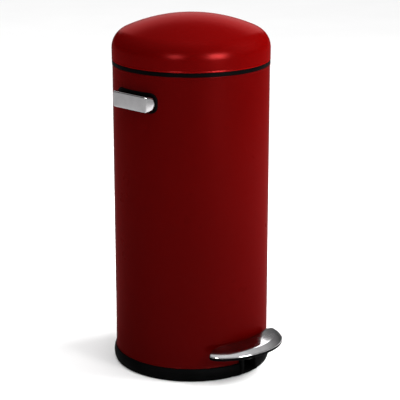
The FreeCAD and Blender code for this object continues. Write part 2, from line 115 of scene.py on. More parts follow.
def lathe(name, corners, segments=SEGMENTS, steps=6, smooth_angle=35.0):
    """Turns a closed profile of (radius, height, fillet) corners about the can's axis."""
    path = rounded_path(corners, steps)
    bm = bmesh.new()
    rings = []
    for r, z in path:
        if r < 1e-7:
            rings.append([bm.verts.new((0, 0, z))] * segments)
            continue
        angles = [2 * math.pi * k / segments for k in range(segments)]
        rings.append([bm.verts.new((r * math.cos(a), r * math.sin(a), z)) for a in angles])
    for a, b in zip(rings, rings[1:] + rings[:1]):
        for k in range(segments):
            j = (k + 1) % segments
            corner = list(dict.fromkeys((a[k], a[j], b[j], b[k])))
            if len(corner) > 2 and bm.faces.get(corner) is None:
                bm.faces.new(corner)
    return mesh_object(name, bm, smooth_angle)


def skin(bm, rings):
    """Fills between closed rings that have as many points each."""
    for a, b in zip(rings, rings[1:]):
        for k in range(len(a)):
            j = (k + 1) % len(a)
            bm.faces.new((a[k], a[j], b[j], b[k]))


def cap(bm, ring):
    """Fills a closed ring with triangles."""
    edges = [bm.edges.get((a, b)) for a, b in zip(ring, ring[1:] + ring[:1])]
    bmesh.ops.triangle_fill(bm, edges=edges, use_beauty=True)


def box_mesh(x0, x1, y0, y1, z0, z1):
    """A box between two planes each way, as a bmesh."""
    bm = bmesh.new()
    bmesh.ops.create_cube(bm, size=1.0)
    size = Vector((x1 - x0, y1 - y0, z1 - z0))
    middle = Vector((x0 + x1, y0 + y1, z0 + z1)) / 2
    for v in bm.verts:
        v.co = Vector(a * b for a, b in zip(v.co, size)) + middle
    return bm


def cut(obj, cutter):
    """Cuts a bmesh out of an object for good."""
    tool = mesh_object(obj.name + ".cutter", cutter)
    step = obj.modifiers.new("cut", "BOOLEAN")
    step.object = tool
    step.solver = "EXACT"
    settle(obj)
    bpy.data.objects.remove(tool)
    return obj


def settle(obj, smooth_angle=35.0):
    """Applies an object's modifiers."""
    bpy.context.view_layer.update()
    shape = obj.evaluated_get(bpy.context.evaluated_depsgraph_get())
    mesh = bpy.data.meshes.new_from_object(shape)
    obj.modifiers.clear()
    obj.data = mesh
    mesh.shade_smooth()
    mesh.set_sharp_from_angle(angle=math.radians(smooth_angle))
    return obj


def bevel(obj, width, segments=3, angle=30.0):
    """Rounds an object's edges sharper than the angle."""
    step = obj.modifiers.new("bevel", "BEVEL")
    step.width = width
    step.segments = segments
    step.limit_method = "ANGLE"
    step.angle_limit = math.radians(angle)
    step.harden_normals = False
    return settle(obj)


def refined(node, width=0.4 * MM, angle=28.0, segments=2):
    """A copy of a CAD node with clean faces and broken edges."""
    bm = bmesh.new()
    bm.from_mesh(frame["nodes"][node].data)
    bmesh.ops.remove_doubles(bm, verts=bm.verts, dist=1e-6)
    bmesh.ops.dissolve_limit(bm, angle_limit=math.radians(1.0), verts=bm.verts, edges=bm.edges)
    obj = mesh_object(node + "_looks", bm)
    return bevel(obj, width, segments, angle)


def tube_along(name, points, radius, sides=24):
    """A round bar along a list of points. The radius may be a function of the way along, 0 to 1."""
    bm = bmesh.new()
    rings = []
    across = Vector((0, 0, 1))
    for i, p in enumerate(points):
        ahead = (points[min(i + 1, len(points) - 1)] - points[max(i - 1, 0)]).normalized()
        side = across - ahead * across.dot(ahead)
        if side.length < 0.2:
            side = Vector((0, 1, 0)) - ahead * ahead.y
        side.normalize()
        across = side
        other = ahead.cross(side)
        r = radius(i / (len(points) - 1)) if callable(radius) else radius
        ring = []
        for k in range(sides):
            a = 2 * math.pi * k / sides
            ring.append(bm.verts.new(p + (side * math.cos(a) + other * math.sin(a)) * r))
        rings.append(ring)
    skin(bm, rings)
    bm.faces.new(rings[0])
    bm.faces.new(rings[-1])
    return mesh_object(name, bm)


def pan_head(name, seat, out, radius, height):
    """A domed screw head with a cross recess, from its seat outward."""
    corners = [(0, 0), (radius, 0, 0.1 * MM), (radius, height * 0.45, 0.4 * MM),
               (radius * 0.62, height * 0.93, 0.8 * MM), (0, height)]
    head = lathe(name, corners, segments=40, steps=4)
    arm, depth = radius * 0.55, height * 0.55
    slim = radius * 0.13
    cut(head, box_mesh(-arm, arm, -slim, slim, depth, height * 2))
    cut(head, box_mesh(-slim, slim, -arm, arm, depth, height * 2))
    turn = Vector((0, 0, 1)).rotation_difference(Vector(out)).to_matrix().to_4x4()
    head.data.transform(Matrix.Translation(Vector(seat)) @ turn)
    return head


def joined(name, objects):
    """Several mesh objects as one."""
    bm = bmesh.new()
    for obj in objects:
        bm.from_mesh(obj.data)
        bpy.data.objects.remove(obj)
    mesh = bpy.data.meshes.new(name)
    bm.to_mesh(mesh)
    bm.free()
    mesh.shade_smooth()
    mesh.set_sharp_from_angle(angle=math.radians(35))
    obj = bpy.data.objects.new(name, mesh)
    bpy.context.scene.collection.objects.link(obj)
    return obj


# ---- materials ----------------------------------------------------------------------
class Finish:
    """Builds one procedural material on a Principled shader."""

    def __init__(self, name):
        self.material = bpy.data.materials.new(name)
        self.material.use_nodes = True
        self.tree = self.material.node_tree
        self.shader = self.tree.nodes["Principled BSDF"]
        self.place = self.add("ShaderNodeTexCoord").outputs["Object"]
        self.normal = None

    def add(self, kind, **settings):
        node = self.tree.nodes.new(kind)
        for key, value in settings.items():
            setattr(node, key, value)
        return node

    def join(self, source, target):
        self.tree.links.new(source, target)

    def constant(self, **values):
        """Sets plain values on the shader. Coat_Weight stands for its input Coat Weight."""
        for key, value in values.items():
            self.shader.inputs[key.replace("_", " ")].default_value = value
        return self

    def stretched(self, scale):
        """The place on the piece, scaled differently each way."""
        node = self.add("ShaderNodeMapping")
        node.inputs["Scale"].default_value = scale
        self.join(self.place, node.inputs["Vector"])
        return node.outputs["Vector"]

    def noise(self, scale, detail=4.0, rough=0.55, stretch=None):
        node = self.add("ShaderNodeTexNoise")
        node.inputs["Scale"].default_value = scale
        node.inputs["Detail"].default_value = detail
        node.inputs["Roughness"].default_value = rough
        self.join(self.stretched(stretch) if stretch else self.place, node.inputs["Vector"])
        return node.outputs["Fac"]

    def cells(self, scale):
        node = self.add("ShaderNodeTexVoronoi")
        node.inputs["Scale"].default_value = scale
        self.join(self.place, node.inputs["Vector"])
        return node.outputs["Distance"]

    def ramp(self, value, start, end, low_value=0.0, high_value=1.0):
        """Takes start to end over to low_value to high_value, and holds them beyond."""
        node = self.add("ShaderNodeMapRange")
        for key, number in (("From Min", start), ("From Max", end),
                            ("To Min", low_value), ("To Max", high_value)):
            node.inputs[key].default_value = number
        self.join(value, node.inputs["Value"])
        return node.outputs["Result"]

    def times(self, a, b):
        node = self.add("ShaderNodeMath", operation="MULTIPLY")
        self.join(a, node.inputs[0])
        self.join(b, node.inputs[1])
        return node.outputs["Value"]

    def blend(self, amount, first, second):
        """Mixes two colours. Either may be a colour or an output."""
        node = self.add("ShaderNodeMix", data_type="RGBA")
        self.join(amount, node.inputs["Factor"])
        for socket, colour in (("A", first), ("B", second)):
            target = [s for s in node.inputs if s.name == socket and s.type == "RGBA"][0]
            if isinstance(colour, tuple):
                target.default_value = (*colour, 1)
            else:
                self.join(colour, target)
        return [s for s in node.outputs if s.type == "RGBA"][0]

    def colour(self, output):
        self.join(output, self.shader.inputs["Base Color"])
        return self

    def roughness(self, output):
        self.join(output, self.shader.inputs["Roughness"])
        return self

    def bump(self, height, strength, distance=0.3 * MM):
        """Adds a layer of bumps to those already there."""
        node = self.add("ShaderNodeBump")
        node.inputs["Strength"].default_value = strength
        node.inputs["Distance"].default_value = distance
        self.join(height, node.inputs["Height"])
        if self.normal:
            self.join(self.normal, node.inputs["Normal"])
        self.normal = node.outputs["Normal"]
        self.join(self.normal, self.shader.inputs["Normal"])
        return self

    def sharp_edges(self, start, end):
        """1 along convex edges, 0 elsewhere."""
        return self.ramp(self.add("ShaderNodeNewGeometry").outputs["Pointiness"], start, end)

    def edge_wear(self, start=0.52, end=0.58):
        """1 along worn convex edges, 0 elsewhere, broken up by noise."""
        broken = self.ramp(self.noise(160.0), 0.42, 0.62)
        return self.times(self.sharp_edges(start, end), broken)

    def height_above_floor(self):
        node = self.add("ShaderNodeSeparateXYZ")
        self.join(self.place, node.inputs["Vector"])
        return node.outputs["Z"]


def red_enamel():
    """Stoved enamel over bright steel: faint orange peel, duller patches, and painted shade that darkens
    it low down.

    It has painted light that makes it a shade brighter on the lid, and a painted highlight that turns it
    brighter over the rolled edges."""
    f = Finish("red_enamel")
    painted_shade_below, lid_starts = 0.50, 0.588      # heights above the floor
    patches = f.ramp(f.noise(5.0, 3.0), 0.2, 0.8)
    paint = f.blend(patches, (0.067, 0.0002, 0.0002), (0.075, 0.0003, 0.0003))
    # painted shade: the paint darkens towards the floor, standing in for light falling off lower down
    painted_shade_low_down = f.ramp(f.height_above_floor(), painted_shade_below, 0.0, 0.0, 0.75)
    paint = f.blend(painted_shade_low_down, paint, (0.039, 0.0001, 0.0001))
    # painted light: above this height the paint is a shade brighter, standing in for more light on the
    # lid's top
    painted_light_on_lid = f.ramp(f.height_above_floor(), lid_starts, lid_starts + 6 * MM)
    paint = f.blend(painted_light_on_lid, paint, (0.096, 0.0003, 0.0003))
    # painted highlight: convex edges such as the rolled hems turn a brighter red
    f.colour(f.blend(f.sharp_edges(0.53, 0.62), paint, (0.34, 0.003, 0.003)))
    f.roughness(f.ramp(f.noise(14.0, 3.0), 0.0, 1.0, 0.25, 0.32))
    f.bump(f.noise(70.0, 1.0), 0.02, 0.1 * MM)
    f.constant(Metallic=0.12, Specular_IOR_Level=0.0, Specular_Tint=(1.0, 0.35, 0.35, 1.0))
    return f.constant(Coat_Weight=0.022, Coat_Roughness=0.26).material


def black_plastic():
    """Moulded plastic: fine spark texture, a little paler at worn edges."""
    f = Finish("black_moulding")
    patches = f.ramp(f.noise(30.0, 4.0), 0.3, 0.7)
    base = f.blend(patches, (0.0010, 0.0010, 0.0011), (0.0020, 0.0020, 0.0021))
    f.colour(f.blend(f.ramp(f.edge_wear(0.56, 0.66), 0, 1, 0, 0.2), base, (0.03, 0.03, 0.03)))
    f.roughness(f.ramp(f.noise(60.0, 4.0), 0.3, 0.7, 0.48, 0.62))
    f.bump(f.noise(1500.0, 3.0), 0.10, 0.05 * MM)
    return f.constant(Specular_IOR_Level=0.006).material


def satin_chrome():
    """Chromed steel with a satin polish, fine hairlines and dulled spots."""
    f = Finish("satin_chrome")
    smudge = f.ramp(f.noise(22.0, 5.0), 0.35, 0.7)
    metal = f.blend(smudge, (0.32, 0.315, 0.32), (0.25, 0.245, 0.25))
    specks = f.ramp(f.noise(310.0, 2.0), 0.70, 0.76)
    f.colour(f.blend(f.ramp(specks, 0, 1, 0, 0.35), metal, (0.18, 0.17, 0.16)))
    f.roughness(f.ramp(f.noise(30.0, 6.0, stretch=(1.0, 6.0, 6.0)), 0.3, 0.7, 0.10, 0.16))
    f.bump(f.noise(220.0, 4.0, stretch=(1.0, 14.0, 14.0)), 0.04, 0.05 * MM)
    return f.constant(Metallic=1.0).material


def plated_steel():
    """Zinc-plated steel: greyish, mottled, brighter at rubbed edges."""
    f = Finish("zinc_plate")
    spangle = f.ramp(f.cells(160.0), 0.1, 0.7)
    metal = f.blend(spangle, (0.50, 0.50, 0.47), (0.36, 0.37, 0.37))
    f.colour(f.blend(f.ramp(f.edge_wear(), 0, 1, 0, 0.5), metal, (0.62, 0.61, 0.58)))
    f.roughness(f.ramp(f.noise(80.0, 5.0), 0.3, 0.7, 0.28, 0.45))
    f.bump(f.noise(400.0, 4.0), 0.08, 0.05 * MM)
    return f.constant(Metallic=1.0).material


def strap_paint():
    """Black painted steel, with bare metal showing at rubbed edges."""
    f = Finish("black_stove_paint")
    patches = f.ramp(f.noise(40.0, 4.0), 0.3, 0.7)
    base = f.blend(patches, (0.008, 0.008, 0.009), (0.014, 0.014, 0.015))
    f.colour(f.blend(f.ramp(f.edge_wear(0.54, 0.62), 0, 1, 0, 0.6), base, (0.20, 0.19, 0.18)))
    f.roughness(f.ramp(f.noise(70.0, 5.0), 0.3, 0.7, 0.34, 0.48))
    f.bump(f.noise(700.0, 3.0), 0.06, 0.05 * MM)
    return f.constant(Specular_IOR_Level=0.4).material


def rubber():
    """Black rubber with a dusty bloom."""
    f = Finish("rubber")
    bloom = f.ramp(f.noise(120.0, 6.0), 0.4, 0.7)
    f.colour(f.blend(bloom, (0.010, 0.010, 0.010), (0.026, 0.025, 0.024)))
    f.roughness(f.ramp(f.noise(200.0, 4.0), 0.3, 0.7, 0.75, 0.9))
    f.bump(f.noise(900.0, 5.0), 0.2, 0.1 * MM)
    return f.constant(Specular_IOR_Level=0.25).material


def bucket_plastic():
    """Dark grey moulded plastic with paler scuffs that run round the bucket."""
    f = Finish("bucket_polypropylene")
    patches = f.ramp(f.noise(12.0, 4.0), 0.3, 0.7)
    base = f.blend(patches, (0.020, 0.021, 0.022), (0.032, 0.033, 0.034))
    scuff = f.ramp(f.noise(60.0, 8.0, 0.7, (1.0, 1.0, 7.0)), 0.6, 0.72)
    f.colour(f.blend(f.ramp(scuff, 0, 1, 0, 0.35), base, (0.10, 0.10, 0.10)))
    f.roughness(f.ramp(f.noise(25.0, 5.0), 0.3, 0.7, 0.38, 0.58))
    f.bump(f.noise(600.0, 4.0), 0.08, 0.08 * MM)
    return f.constant(Specular_IOR_Level=0.4).material


def nylon():
    """Natural nylon, slightly see-through and unevenly yellowed."""
    f = Finish("nylon")
    patches = f.ramp(f.noise(50.0, 4.0), 0.3, 0.7)
    f.colour(f.blend(patches, (0.56, 0.54, 0.47), (0.68, 0.66, 0.60)))
    f.roughness(f.ramp(f.noise(90.0, 4.0), 0.3, 0.7, 0.38, 0.52))
    f.bump(f.noise(500.0, 4.0), 0.08, 0.06 * MM)
    return f.constant(Subsurface_Weight=0.1, Subsurface_Scale=0.002).material


def damper_case():
    """Dark anodised tube of the damper."""
    f = Finish("damper_tube")
    patches = f.ramp(f.noise(60.0, 4.0), 0.3, 0.7)
    f.colour(f.blend(patches, (0.045, 0.047, 0.050), (0.070, 0.072, 0.075)))
    f.roughness(f.ramp(f.noise(50.0, 4.0), 0.3, 0.7, 0.3, 0.42))
    f.bump(f.noise(300.0, 4.0), 0.06, 0.05 * MM)
    return f.constant(Metallic=0.6).material


FINISHES = {
    "red_paint": red_enamel(), "black_plastic": black_plastic(), "chrome": satin_chrome(),
    "plated_steel": plated_steel(), "black_strap": strap_paint(), "rubber": rubber(),
    "bucket_plastic": bucket_plastic(), "nylon": nylon(), "damper_case": damper_case(),
}


def body_of(node):
    """The name of the body that a CAD node belongs to."""
    for body, members in frame["record"]["behaviour"]["bodies"].items():
        if node in members:
            return body


def stands_for(obj, node, slot):
    """Dresses a piece in a slot's finish and shows it in place of a CAD node."""
    obj.data.materials.clear()
    obj.data.materials.append(FINISHES[slot])
    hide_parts(node)
    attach(obj, body_of(node))
    return obj


# ---- the can's turned pieces --------------------------------------------------------
def lever_window():
    """The slot that the pedal lever works in."""
    half_width, outside, inside, bottom, top = 0.015, -0.175, -0.125, 0.008, 0.042
    return box_mesh(-half_width, half_width, outside, inside, bottom, top)


def body():
    """Steel body: rolled hems, and a fine weld seam down the back."""
    inner, hem_r = BODY_R - STEEL, BODY_R + HEM_OUT
    roll, step, ease, edge = HEM_OUT * 0.95, 0.9 * MM, 0.5 * MM, 0.2 * MM
    wall = [BODY_LOW + 20 * MM + 45 * MM * k for k in range(12)]
    corners = [(inner, BODY_LOW, edge), (hem_r, BODY_LOW, roll),
               (hem_r, BODY_LOW + HEM, roll), (BODY_R, BODY_LOW + HEM + step, ease)]
    corners += [(BODY_R, z) for z in wall]
    corners += [(BODY_R, BODY_HIGH - HEM - step, ease), (hem_r, BODY_HIGH - HEM, roll),
                (hem_r, BODY_HIGH, roll), (inner, BODY_HIGH, edge)]
    corners += [(inner, z) for z in reversed(wall)]
    shell = lathe("body_shell_looks", corners)
    seam_half, seam_height = 4 * MM, 0.35 * MM
    for v in shell.data.vertices:
        across = abs(v.co.x)
        on_outside = v.co.xy.length > BODY_R - 0.2 * MM
        if v.co.y > 0 and across < seam_half and on_outside:
            v.co.y += seam_height * math.cos(across / seam_half * math.pi / 2)
    cut(shell, lever_window())
    stands_for(shell, "body_shell", "red_paint")


def collar():
    """Black plastic band between the body and the lid, with its skirt inside."""
    skirt_out, skirt_in, step_z = BODY_R - 1.1 * MM, 0.1435, 0.583
    bottom, seat = low("upper_collar").z, BODY_HIGH + GAP
    corners = [(MOUTH_R, COLLAR_TOP, 0.9 * MM), (MOUTH_R, step_z, 0.5 * MM),
               (skirt_in, step_z - 3 * MM, 0.5 * MM), (skirt_in, bottom, 0.4 * MM),
               (skirt_out, bottom, 0.4 * MM), (skirt_out, seat),
               (COLLAR_R, seat, 0.8 * MM), (COLLAR_R, COLLAR_TOP, 1.2 * MM)]
    ring = lathe("upper_collar_looks", corners)
    rod_notch = box_mesh(-0.012, 0.012, 0.130, 0.1454, 0.555, 0.600)
    cut(ring, rod_notch)
    stands_for(ring, "upper_collar", "black_plastic")


def base():
    """Flared black ring that the body stands in."""
    top = BODY_LOW - GAP
    bottom, widest, tongue_top = 0.0010, 0.0120, 0.040
    tongue_out, tongue_in = BODY_R - 1.1 * MM, 0.144
    ledge_r, ledge_top, ledge_low = 0.132, 0.010, 0.0068
    outer = [(0.1500, bottom, 1.2 * MM), (0.1517, bottom + 4.5 * MM, 8 * MM),
             (BASE_R, widest, 12 * MM), (0.1521, widest + 6 * MM, 12 * MM),
             (0.1502, top - 1.2 * MM, 1.5 * MM), (0.1492, top, 0.5 * MM)]
    inner = [(tongue_out, top), (tongue_out, tongue_top, 0.5 * MM), (tongue_in, tongue_top, 0.5 * MM),
             (tongue_in, ledge_top), (ledge_r, ledge_top, 0.4 * MM), (ledge_r, ledge_low),
             (0.141, ledge_low), (0.141, bottom, 0.4 * MM)]
    ring = lathe("base_ring_looks", outer + inner)
    cut(ring, lever_window())
    stands_for(ring, "base_ring", "black_plastic")


def foot():
    """Rubber foot with two fine grooves on its sole."""
    lo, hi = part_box("foot_ring")
    inside, depth = 0.118, 0.8 * MM
    grooves = []
    for r in (0.1275, 0.1235):
        grooves += [(r, lo.z), (r - 0.4 * MM, lo.z + depth),
                    (r - 0.9 * MM, lo.z + depth), (r - 1.3 * MM, lo.z)]
    corners = [(hi.x, hi.z, 0.3 * MM), (hi.x, lo.z, 0.8 * MM)] + grooves
    corners += [(inside, lo.z, 0.8 * MM), (inside, hi.z, 0.3 * MM)]
    stands_for(lathe("foot_ring_looks", corners), "foot_ring", "rubber")


def pan():
    """Base pan with pressed stiffening rings."""
    lo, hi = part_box("base_pan")
    depth, slope, ring_width, soft = 1.6 * MM, 4 * MM, 24 * MM, 3 * MM
    corners = [(0, lo.z)]
    for r in (0.040, 0.088):
        corners += [(r, lo.z, soft), (r + slope, lo.z + depth, soft),
                    (r + ring_width - slope, lo.z + depth, soft), (r + ring_width, lo.z, soft)]
    corners += [(hi.x, lo.z, 0.8 * MM), (hi.x, hi.z, 0.8 * MM), (0, hi.z)]
    stands_for(lathe("base_pan_looks", corners), "base_pan", "black_plastic")


# ---- lid ----------------------------------------------------------------------------
def dome_corners(offset, start):
    """Half profile of the lid, offset inward: wall, shoulder arc and crown arc, centre last."""
    rise, wall_z = LID_TOP - LID_LOW, LID_LOW + LID_WALL
    a, b = LID_R - LID_SHOULDER, LID_WALL - rise
    crown = (LID_SHOULDER ** 2 - a ** 2 - b ** 2) / (2 * (b + LID_SHOULDER))
    crown_z = LID_LOW + rise - crown
    meet = math.atan2(wall_z - crown_z, a)
    points = [(LID_R - offset, start)]
    r = LID_SHOULDER - offset
    for k in range(21):
        t = meet * k / 20
        points.append((a + r * math.cos(t), wall_z + r * math.sin(t)))
    r = crown - offset
    for k in range(1, 33):
        t = meet + (math.pi / 2 - meet) * k / 32
        points.append((r * math.cos(t), crown_z + r * math.sin(t)))
    points[-1] = (0, points[-1][1])
    return points


def hinge_window():
    """The opening in the lid's back for the hinge housing."""
    return box_mesh(-0.027, 0.027, 0.135, 0.175, LID_LOW - 5 * MM, LID_LOW + 11.6 * MM)


def lid():
    """Pressed dome with a rolled lower edge."""
    outside = dome_corners(0, LID_LOW)
    inside = dome_corners(STEEL, LID_LOW)
    hem = [(LID_R - STEEL, LID_LOW), (LID_R - 0.3 * MM, LID_LOW), (LID_R, LID_LOW + 0.4 * MM),
           (LID_R, LID_LOW + 2.1 * MM), (LID_R - 0.25 * MM, LID_LOW + 2.5 * MM)]
    above_hem = [(LID_R - 0.25 * MM, LID_LOW + 3.2 * MM), (LID_R - 0.05 * MM, LID_LOW + 6 * MM)]
    shell = lathe("lid_dome_looks", hem + above_hem + outside[1:] + inside[:0:-1])
    cut(shell, hinge_window())
    stands_for(shell, "lid_dome", "red_paint")


def liner():
    """Black inner lid with moulded ribs, and the pad that the strap is screwed to."""
    start, outer_offset, inner_offset = low("lid_liner").z, 1.3 * MM, 2.8 * MM
    outside = dome_corners(outer_offset, start)
    inside = dome_corners(inner_offset, start)[::-1]
    shell = lathe("liner_shell", outside + inside)
    cut(shell, hinge_window())
    pad_low, pad_half, rib_half = LID_LOW + 8.7 * MM, 22 * MM, 0.8 * MM
    block = box_mesh(-pad_half, pad_half, 0.104, 0.1425, pad_low, pad_low + 8 * MM)
    pad = bevel(mesh_object("liner_pad", block), 1.2 * MM)
    ribs = []
    for x in (-0.011, -0.021, 0.011, 0.021):
        block = box_mesh(x - rib_half, x + rib_half, 0.108, 0.140, pad_low + 7 * MM, pad_low + 24 * MM)
        ribs.append(bevel(mesh_object("rib", block), 0.4 * MM))
    whole = joined("lid_liner_looks", [shell, pad] + ribs)
    stands_for(whole, "lid_liner", "black_plastic")


def lid_edge():
    """Flat black ring that closes the lid's edge."""
    lo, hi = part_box("lid_rim")
    corners = [(MOUTH_R, lo.z, 0.5 * MM), (hi.x, lo.z, 0.5 * MM),
               (hi.x, hi.z, 0.3 * MM), (MOUTH_R, hi.z, 0.5 * MM)]
    ring = lathe("lid_rim_looks", corners)
    strap_notch = box_mesh(-0.011, 0.011, 0.120, 0.160, LID_LOW - 1 * MM, LID_LOW + 6 * MM)
    cut(ring, strap_notch)
    stands_for(ring, "lid_rim", "black_plastic")


# ---- bucket -------------------------------------------------------------------------
WIRE_R = 2.5 * MM


def lug_radius(t):
    """A bail lug's radius along it: a little less at its outer end."""
    return 6.5 * MM - 0.4 * MM * (t > 0.9)


def bucket():
    """Lift-out bucket: turned rim, stepped wall, a ring in its floor, and a lug each side."""
    lo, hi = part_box("inner_bucket")
    bottom, top, sheet = lo.z, hi.z, 1.8 * MM
    rim_r, wall_r, foot_r, lug_reach = 0.1275, 0.1245, 0.1160, 0.1282
    rim_low, sole_r = top - 6 * MM, foot_r - 10 * MM
    recess, floor_top, ring_top = bottom + 0.8 * MM, bottom + 2.5 * MM, bottom + 4.0 * MM

    def at(z):
        """The wall's outer radius at a height."""
        return foot_r + (wall_r - foot_r) * (z - bottom) / (rim_low - bottom)

    outside = [(foot_r - 3 * MM, bottom, 2 * MM), (at(bottom + 4 * MM), bottom + 4 * MM, 3 * MM)]
    for z in (bottom + 0.16, bottom + 0.32):
        outside += [(at(z) - 0.6 * MM, z, 0.8 * MM), (at(z), z + 3 * MM, 0.8 * MM)]
    outside += [(wall_r, rim_low, 0.8 * MM), (rim_r, rim_low, 0.6 * MM), (rim_r, top, 1.5 * MM),
                (wall_r - sheet, top, 1.0 * MM)]
    inside = [(foot_r - sheet, bottom + 12 * MM, 8 * MM), (sole_r, floor_top, 6 * MM),
              (0.062, floor_top, 1 * MM), (0.060, ring_top, 1 * MM),
              (0.050, ring_top, 1 * MM), (0.048, floor_top, 1 * MM), (0, floor_top), (0, recess),
              (sole_r, recess, 0.5 * MM), (sole_r, bottom, 0.5 * MM)]
    shell = lathe("bucket_shell", outside + inside)
    lugs = []
    pivot = low("bail_wire").z + WIRE_R
    for side in (-1, 1):
        start = Vector((side * (wall_r - 1.2 * MM), 0, pivot))
        end = Vector((side * lug_reach, 0, pivot))
        lugs.append(tube_along("lug", [start, start.lerp(end, 0.85), end], lug_radius, 32))
    stands_for(joined("inner_bucket_looks", [shell] + lugs), "inner_bucket", "bucket_plastic")


def grip_radius(t):
    """The grip's radius along it: twelve ribs, plain near the ends and thinner at the very ends."""
    ribs, thick, groove, thin = 12, 6.0 * MM, 0.8 * MM, 5.2 * MM
    from_end = min(t, 1 - t)
    if from_end <= 0.02:
        return thin
    if from_end <= 0.04:
        return thick
    return thick - groove * (0.5 + 0.5 * math.cos(t * ribs * 2 * math.pi))


def bail():
    """Bent wire handle with its turned-in ends, and a ribbed grip."""
    reach, in_lug, grip_half = 0.133, 0.1252, math.radians(17.0)
    base_z, top_z = low("bail_wire").z + WIRE_R, high("bail_wire").z - WIRE_R
    leg = [(in_lug, 0, base_z), (reach - 2 * MM, 0, base_z),
           (reach - 0.6 * MM, 0, base_z + 0.6 * MM), (reach, 0, base_z + 2 * MM),
           (reach, 0, top_z - 3 * MM), (reach, -0.9 * MM, top_z - 0.9 * MM), (reach, -3 * MM, top_z)]
    path = [Vector(p) for p in leg]
    for k in range(1, 60):
        a = math.pi * k / 60
        if math.sin(a) * reach > 5 * MM:
            path.append(Vector((reach * math.cos(a), -reach * math.sin(a), top_z)))
    path += [Vector((-x, y, z)) for x, y, z in reversed(leg)]
    stands_for(tube_along("bail_wire_looks", path, WIRE_R, 20), "bail_wire", "plated_steel")
    grip = []
    for k in range(49):
        a = -math.pi / 2 - grip_half + 2 * grip_half * k / 48
        grip.append(Vector((reach * math.cos(a), reach * math.sin(a), top_z)))
    stands_for(tube_along("bail_grip_looks", grip, grip_radius, 32), "bail_grip", "bucket_plastic")


# ---- side handles -------------------------------------------------------------------
SHEET, BEND = 2.5 * MM, 3.5 * MM
FACE = 43.5 * MM        # half the flat front
FEET = 5.6 * MM         # the ends lie this far in from the body's outermost line
CORNER = 9.0 * MM       # the ends are this much lower on each side
LEG = 24.0 * MM         # and start to round off this far from the end
ROUNDING = 2.4          # power of the curve they follow: 2 is an ellipse
EASED = 0.86            # the edges are eased beyond this part of the half height
EDGE = 0.9 * MM         # and by this much


def handle_plan(reach, end):
    """Plan of the handle's outside from end to end: foot, bend, flat front, bend, foot."""
    half = rounded_path([(reach, 0.0), (reach, FACE, BEND), (BODY_R - FEET, end)], steps=8)
    front = [half[0].lerp(half[1], k / 12) for k in range(12)]
    leg = [half[-2].lerp(half[-1], k / 10) for k in range(1, 11)]
    one_end = front + half[1:-1] + leg
    return [Vector((p.x, -p.y)) for p in one_end[:0:-1]] + one_end


def pull(side):
    """Chromed pull: a strip bent back at each end, crowned, with rounded ends and eased edges."""
    node = "side_handle_" + ("right" if side > 0 else "left")
    lo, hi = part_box(node)
    middle, rise = (lo.z + hi.z) / 2, (hi.z - lo.z) / 2
    plan = handle_plan(max(abs(lo.x), abs(hi.x)), hi.y)
    run = [0.0]
    for p, q in zip(plan, plan[1:]):
        run.append(run[-1] + (q - p).length)
    across = [math.sin(math.pi / 2 * k / 8) for k in range(-8, 9)]
    bm = bmesh.new()
    outer, inner = [], []
    for i, p in enumerate(plan):
        ahead = (plan[min(i + 1, len(plan) - 1)] - plan[max(i - 1, 0)]).normalized()
        inward = Vector((-ahead.y, ahead.x))
        on_leg = max(0.0, 1 - min(run[i], run[-1] - run[i]) / LEG)
        half_height = rise - CORNER * (1 - (1 - on_leg ** ROUNDING) ** (1 / ROUNDING))
        crown = 0.3 * MM + 0.5 * MM * min(on_leg * 3, 1.0)
        for rows, depth, sign in ((outer, 0.0, 1), (inner, SHEET, -1)):
            row = []
            for u in across:
                beyond = max(abs(u) - EASED, 0) / (1 - EASED)
                eased = EDGE * (1 - math.sqrt(max(1 - beyond ** 2, 0)))
                q = p + inward * (depth + crown * u * u + sign * eased)
                row.append(bm.verts.new((side * q.x, q.y, middle + u * half_height)))
            rows.append(row)
    for rows in (outer, inner):
        for r0, r1 in zip(rows, rows[1:]):
            for k in range(len(across) - 1):
                bm.faces.new((r0[k], r0[k + 1], r1[k + 1], r1[k]))
    for k in (0, -1):
        for i in range(len(plan) - 1):
            bm.faces.new((outer[i][k], outer[i + 1][k], inner[i + 1][k], inner[i][k]))
        for j in range(len(across) - 1):
            bm.faces.new((outer[k][j], outer[k][j + 1], inner[k][j + 1], inner[k][j]))
    stands_for(mesh_object(node + "_looks", bm, 50), node, "chrome")


def plate_outline(long_half, high_half, radius):
    """Points round a rounded rectangle. Its long straight edges are divided, to be bent."""
    ring = []
    for quarter, (sy, sz) in enumerate(((1, 1), (-1, 1), (-1, -1), (1, -1))):
        for k in range(16):
            a = math.pi / 2 * (quarter + k / 15)
            ring.append((sy * long_half + radius * math.cos(a), sz * high_half + radius * math.sin(a)))
    dense = []
    for (y, z), (y2, z2) in zip(ring, ring[1:] + ring[:1]):
        dense.append((y, z))
        if abs(y2 - y) > 20 * MM:
            dense += [(y + (y2 - y) * t / 24, z + (z2 - z) * t / 24) for t in range(1, 24)]
    return dense


def plate(side):
    """Black plate behind the handle, curved to the body, with a soft raised border."""
    node = "handle_plate_" + ("right" if side > 0 else "left")
    lo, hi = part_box(node)
    middle, corner = (lo.z + hi.z) / 2, 14.0 * MM
    long_half, high_half = (hi.y - lo.y) / 2 - corner, (hi.z - lo.z) / 2 - corner
    back, front = BODY_R + 0.05 * MM, max(abs(lo.x), abs(hi.x))
    face = front - 0.5 * MM
    insets = [(0.0, back), (0.0, front - 1.0 * MM), (0.3 * MM, front - 0.3 * MM),
              (1.0 * MM, front), (2.2 * MM, front), (2.6 * MM, face),
              (6 * MM, face), (10 * MM, face), (14 * MM, face)]
    bm = bmesh.new()
    rings = []
    for inset, r in insets:
        outline = plate_outline(long_half, high_half, corner - inset)
        rings.append([bm.verts.new((side * math.sqrt(r * r - y * y), y, middle + z)) for y, z in outline])
    skin(bm, rings)
    cap(bm, rings[-1])
    cap(bm, rings[0])
    stands_for(mesh_object(node + "_looks", bm, 40), node, "black_plastic")


